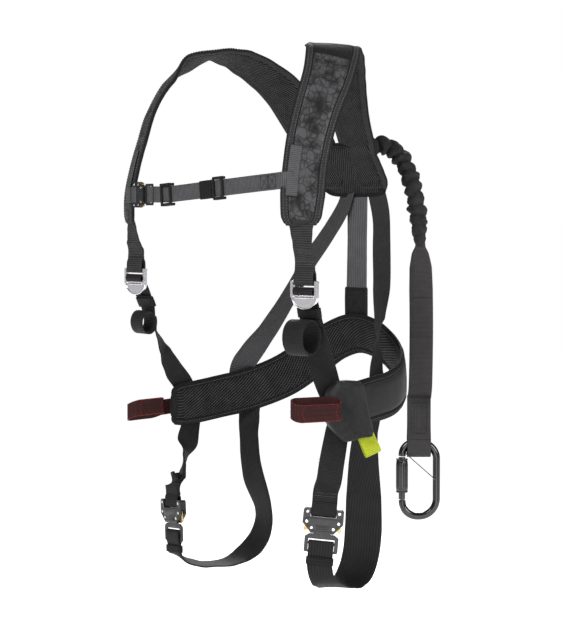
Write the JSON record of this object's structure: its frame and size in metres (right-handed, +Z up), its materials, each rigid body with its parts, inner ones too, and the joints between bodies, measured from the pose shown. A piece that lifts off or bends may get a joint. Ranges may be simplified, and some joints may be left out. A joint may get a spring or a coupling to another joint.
{
  "type": "safety harness vest",
  "caption": "Full-body safety harness vest: padded shoulders and belt, webbing straps, buckles, hip pouch, leg loops and a rear tether with a locking carabiner.",
  "frame": {"origin": "midway between the undersides of the two shoulder pads' tops, where the vest rests on the wearer's shoulders", "axes": "+Z up the worn vest, -Y the way the wearer faces, +X to the wearer's left"},
  "size_m": [0.4712, 0.4289, 0.8327],
  "materials": {
    "brass": "satin",
    "elastic_black": "knitted elastic",
    "fabric_black": "woven",
    "plastic_black": "moulded",
    "steel_black": "satin black coating",
    "steel_chrome": "polished",
    "tether_webbing": "woven tubular webbing",
    "webbing_black": "ribbed webbing",
    "webbing_grey": "ribbed webbing",
    "webbing_lime": "webbing",
    "webbing_maroon": "webbing, red edge stitching"
  },
  "bodies": {
    "harness": {"back_panel": "fabric_black", "back_webbing_left": "webbing_grey", "back_webbing_right": "webbing_grey", "chest_buckle_body": "steel_black", "chest_buckle_rivets": "steel_chrome", "chest_triglide": "plastic_black", "chest_webbing_left": "webbing_grey", "chest_webbing_right": "webbing_grey", "front_webbing_left": "webbing_grey", "front_webbing_right": "webbing_grey", "leg_buckle_left_body": "steel_black", "leg_buckle_left_rivets": "steel_chrome", "leg_buckle_right_body": "steel_black", "leg_buckle_right_rivets": "steel_chrome", "leg_keeper_left": "elastic_black", "leg_keeper_right": "elastic_black", "leg_webbing_seat_left": "webbing_black", "leg_webbing_seat_right": "webbing_black", "leg_webbing_upper_left": "webbing_black", "leg_webbing_upper_right": "webbing_black", "pad_flap_left": "fabric_black", "pad_flap_right": "fabric_black", "pouch_body": "fabric_black", "pouch_flap": "fabric_black", "rolled_tail_left": "webbing_black", "rolled_tail_right": "webbing_black", "shoulder_pad_left": "fabric_black", "shoulder_pad_right": "fabric_black", "side_keeper_left": "elastic_black", "side_keeper_right": "elastic_black", "side_webbing_left": "webbing_black", "side_webbing_right": "webbing_black", "spine_strap": "webbing_grey", "tether_anchor": "tether_webbing", "tether_bungee": "tether_webbing", "tether_webbing": "tether_webbing", "waist_belt": "fabric_black"},
    "leg_left_lever_a": {"leg_buckle_left_lever_a": "brass"},
    "leg_left_lever_b": {"leg_buckle_left_lever_b": "brass"},
    "leg_left_tongue": {"leg_buckle_left_tongue": "steel_black"},
    "leg_right_lever_a": {"leg_buckle_right_lever_a": "brass"},
    "leg_right_lever_b": {"leg_buckle_right_lever_b": "brass"},
    "leg_right_tongue": {"leg_buckle_right_tongue": "steel_black"},
    "chest_lever_a": {"chest_buckle_lever_a": "brass"},
    "chest_lever_b": {"chest_buckle_lever_b": "brass"},
    "chest_tongue": {"chest_buckle_tongue": "steel_black"},
    "adjuster_left": {"adjuster_frame_left": "steel_chrome", "adjuster_roll_left": "webbing_black"},
    "adjuster_right": {"adjuster_frame_right": "steel_chrome", "adjuster_roll_right": "webbing_black"},
    "chest_slider": {"chest_slider": "plastic_black"},
    "chest_keeper": {"chest_keeper": "elastic_black"},
    "side_loop_left": {"side_loop_left": "webbing_maroon"},
    "side_loop_right": {"side_loop_right": "webbing_maroon"},
    "pouch_tab": {"pouch_tab": "webbing_lime"},
    "carabiner": {"carabiner_body": "steel_black", "carabiner_wire": "steel_black"},
    "carabiner_gate": {"carabiner_gate": "steel_black"},
    "carabiner_sleeve": {"carabiner_sleeve": "steel_black"}
  },
  "joints": [
    {"name": "leg_left_lever_a_press", "type": "hinge", "parent": "harness", "child": "leg_left_lever_a", "pos_m": [0.18268, -0.04424, -0.72108], "axis": [-0.6428, 0.766, 0], "range_deg": [0, 8], "stiffness_Nm_per_rad": 0.2, "springref_deg": -2.29},
    {"name": "leg_left_lever_b_press", "type": "hinge", "parent": "harness", "child": "leg_left_lever_b", "pos_m": [0.14605, -0.07498, -0.7169], "axis": [0.6428, -0.766, 0], "range_deg": [0, 8], "stiffness_Nm_per_rad": 0.2, "springref_deg": -2.29},
    {"name": "leg_left_tongue_play", "type": "slide", "parent": "harness", "child": "leg_left_tongue", "axis": [-0.0668, -0.056, -0.9962], "range_m": [0, 0.0015]},
    {"name": "leg_right_lever_a_press", "type": "hinge", "parent": "harness", "child": "leg_right_lever_a", "pos_m": [-0.14637, -0.06209, -0.73574], "axis": [0.1908, 0.9816, 0], "range_deg": [0, 8], "stiffness_Nm_per_rad": 0.2, "springref_deg": -2.29},
    {"name": "leg_right_lever_b_press", "type": "hinge", "parent": "harness", "child": "leg_right_lever_b", "pos_m": [-0.19342, -0.05295, -0.73825], "axis": [-0.1908, -0.9816, 0], "range_deg": [0, 8], "stiffness_Nm_per_rad": 0.2, "springref_deg": -2.29},
    {"name": "leg_right_tongue_play", "type": "slide", "parent": "harness", "child": "leg_right_tongue", "axis": [0.0514, -0.01, -0.9986], "range_m": [0, 0.0015]},
    {"name": "chest_lever_a_press", "type": "hinge", "parent": "harness", "child": "chest_lever_a", "pos_m": [-0.14382, -0.15, -0.2132], "axis": [0, 1, 0], "range_deg": [0, 8], "stiffness_Nm_per_rad": 0.2, "springref_deg": -2.29},
    {"name": "chest_lever_b_press", "type": "hinge", "parent": "harness", "child": "chest_lever_b", "pos_m": [-0.14355, -0.15, -0.24478], "axis": [0, -1, 0], "range_deg": [0, 8], "stiffness_Nm_per_rad": 0.2, "springref_deg": -2.29},
    {"name": "chest_tongue_play", "type": "slide", "parent": "harness", "child": "chest_tongue", "axis": [1, 0, 0.0087], "range_m": [0, 0.0009]},
    {"name": "adjuster_left_tilt", "type": "hinge", "parent": "harness", "child": "adjuster_left", "pos_m": [0.186, -0.121, -0.358], "axis": [-0.9994, -0.0349, 0], "range_deg": [0, 30]},
    {"name": "adjuster_right_tilt", "type": "hinge", "parent": "harness", "child": "adjuster_right", "pos_m": [-0.184, -0.123, -0.347], "axis": [-0.9976, 0.0698, 0], "range_deg": [0, 30]},
    {"name": "chest_slider_slide", "type": "slide", "parent": "harness", "child": "chest_slider", "axis": [0.9967, 0.0056, 0.0812], "range_m": [0, 0.06]},
    {"name": "chest_keeper_slide", "type": "slide", "parent": "harness", "child": "chest_keeper", "axis": [0.9967, 0.0056, 0.0812], "range_m": [-0.045, 0]},
    {"name": "side_loop_left_swing", "type": "hinge", "parent": "harness", "child": "side_loop_left", "pos_m": [0.22527, -0.10116, -0.542], "axis": [0, 0, 1], "range_deg": [0, 35]},
    {"name": "side_loop_right_swing", "type": "hinge", "parent": "harness", "child": "side_loop_right", "pos_m": [-0.20996, -0.05624, -0.572], "axis": [0, 0, -1], "range_deg": [0, 35]},
    {"name": "relief_strap_pull", "type": "slide", "parent": "harness", "child": "pouch_tab", "axis": [0.2071, 0.3314, -0.9205], "range_m": [0, 0.025]},
    {"name": "carabiner_swing", "type": "hinge", "parent": "harness", "child": "carabiner", "pos_m": [0.09941, 0.23441, -0.6275], "axis": [0.7071, 0.7071, 0], "range_deg": [-15, 15]},
    {"name": "gate_open", "type": "hinge", "parent": "carabiner", "child": "carabiner_gate", "pos_m": [0.07997, 0.21497, -0.731], "axis": [-0.7071, 0.7071, 0], "range_deg": [0, 15], "stiffness_Nm_per_rad": 0.6, "springref_deg": -8.02},
    {"name": "sleeve_twist", "type": "hinge", "parent": "carabiner_gate", "child": "carabiner_sleeve", "pos_m": [0.07891, 0.21391, -0.687], "axis": [0, 0, 1], "range_deg": [0, 90], "stiffness_Nm_per_rad": 0.03, "springref_deg": -11.46}
  ]
}
